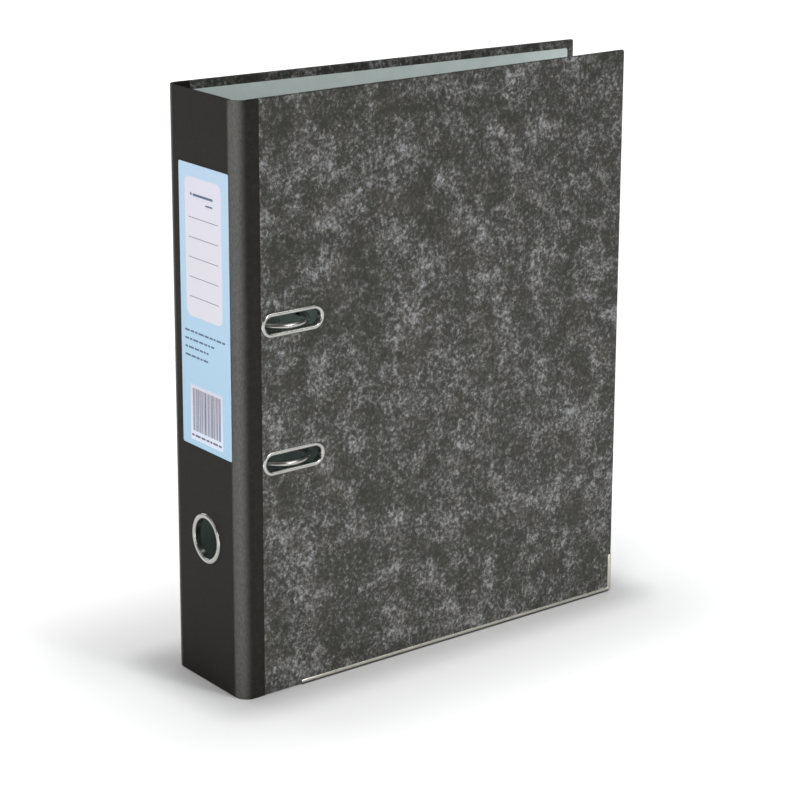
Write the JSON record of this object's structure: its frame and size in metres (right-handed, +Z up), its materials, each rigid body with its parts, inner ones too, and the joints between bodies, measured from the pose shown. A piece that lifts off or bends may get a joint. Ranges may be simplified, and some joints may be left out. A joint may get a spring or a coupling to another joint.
{
  "type": "lever arch file",
  "caption": "Foolscap lever arch file with slotted front cover, finger ring in the spine, edge rails and a working lever arch mechanism with compressor bar.",
  "frame": {"origin": "middle of the closed file in plan, at its lower edge", "axes": "+Z up along the spine, +X from the spine to the fore-edge, +Y from the front cover to the back cover"},
  "size_m": [0.2913, 0.0754, 0.345],
  "materials": {
    "cloud_paper": "matt cloud-marbled cover paper",
    "spine_cloth": "matt charcoal binding paper with a fine linen grain",
    "greyboard": "raw",
    "lining_paper": "matt pale grey-green",
    "label_paper": "satin printed",
    "nickel": "bright nickel plate",
    "steel_sheet": "bright nickel-plated sheet steel",
    "spring_steel": "oiled spring wire",
    "roller_plastic": "moulded acetal",
    "clip_plastic": "moulded"
  },
  "bodies": {
    "back_cover": {"back_board": "greyboard", "back_cover_paper": "cloud_paper", "back_hinge_cloth": "spine_cloth", "back_lining": "lining_paper", "back_edge_rail": "nickel", "base_plate": "steel_sheet", "lower_post": "nickel", "upper_post": "nickel", "arch_spring": "spring_steel", "lever_pin": "nickel", "mechanism_rivets": "nickel"},
    "spine": {"spine_board": "greyboard", "spine_wrap": "spine_cloth", "spine_lining": "lining_paper", "spine_label": "label_paper", "finger_ring": "nickel", "finger_ring_washer": "nickel"},
    "front_cover": {"front_board": "greyboard", "front_cover_paper": "cloud_paper", "front_hinge_cloth": "spine_cloth", "front_lining": "lining_paper", "front_edge_rail": "nickel", "lower_slot_eyelet": "nickel", "upper_slot_eyelet": "nickel", "lower_slot_washer": "nickel", "upper_slot_washer": "nickel"},
    "arch": {"arch_wire": "nickel"},
    "lever": {"lever": "steel_sheet", "roller_pin": "nickel"},
    "roller": {"roller": "roller_plastic"},
    "compressor": {"compressor_bar": "steel_sheet", "compressor_clip": "clip_plastic"}
  },
  "joints": [
    {"name": "spine_fold", "type": "hinge", "parent": "back_cover", "child": "spine", "pos_m": [-0.14307, 0.03557, 0], "axis": [0, 0, -1], "range_deg": [0, 90]},
    {"name": "front_cover_open", "type": "hinge", "parent": "spine", "child": "front_cover", "pos_m": [-0.14286, -0.03519, 0], "axis": [0, 0, -1], "range_deg": [0, 180]},
    {"name": "lever_lift", "type": "hinge", "parent": "back_cover", "child": "lever", "pos_m": [-0.098, 0.0227, 0.1748], "axis": [-1, 0, 0], "range_deg": [0, 90]},
    {"name": "arch_swing", "type": "hinge", "parent": "back_cover", "child": "arch", "pos_m": [-0.128, 0.0297, 0.1748], "axis": [0, 0, -1], "range_deg": [0, 46.8]},
    {"name": "roller_spin", "type": "hinge", "parent": "lever", "child": "roller", "pos_m": [-0.098, 0.0237, 0.154], "axis": [1, 0, 0], "continuous": true},
    {"name": "compressor_slide", "type": "slide", "parent": "back_cover", "child": "compressor", "axis": [0, -1, 0], "range_m": [0, 0.03]}
  ],
  "couplings": [
    {"joint": "lever_lift", "follows": "spine_fold", "ratio": 1},
    {"joint": "arch_swing", "follows": "spine_fold", "ratio": 0.52}
  ]
}
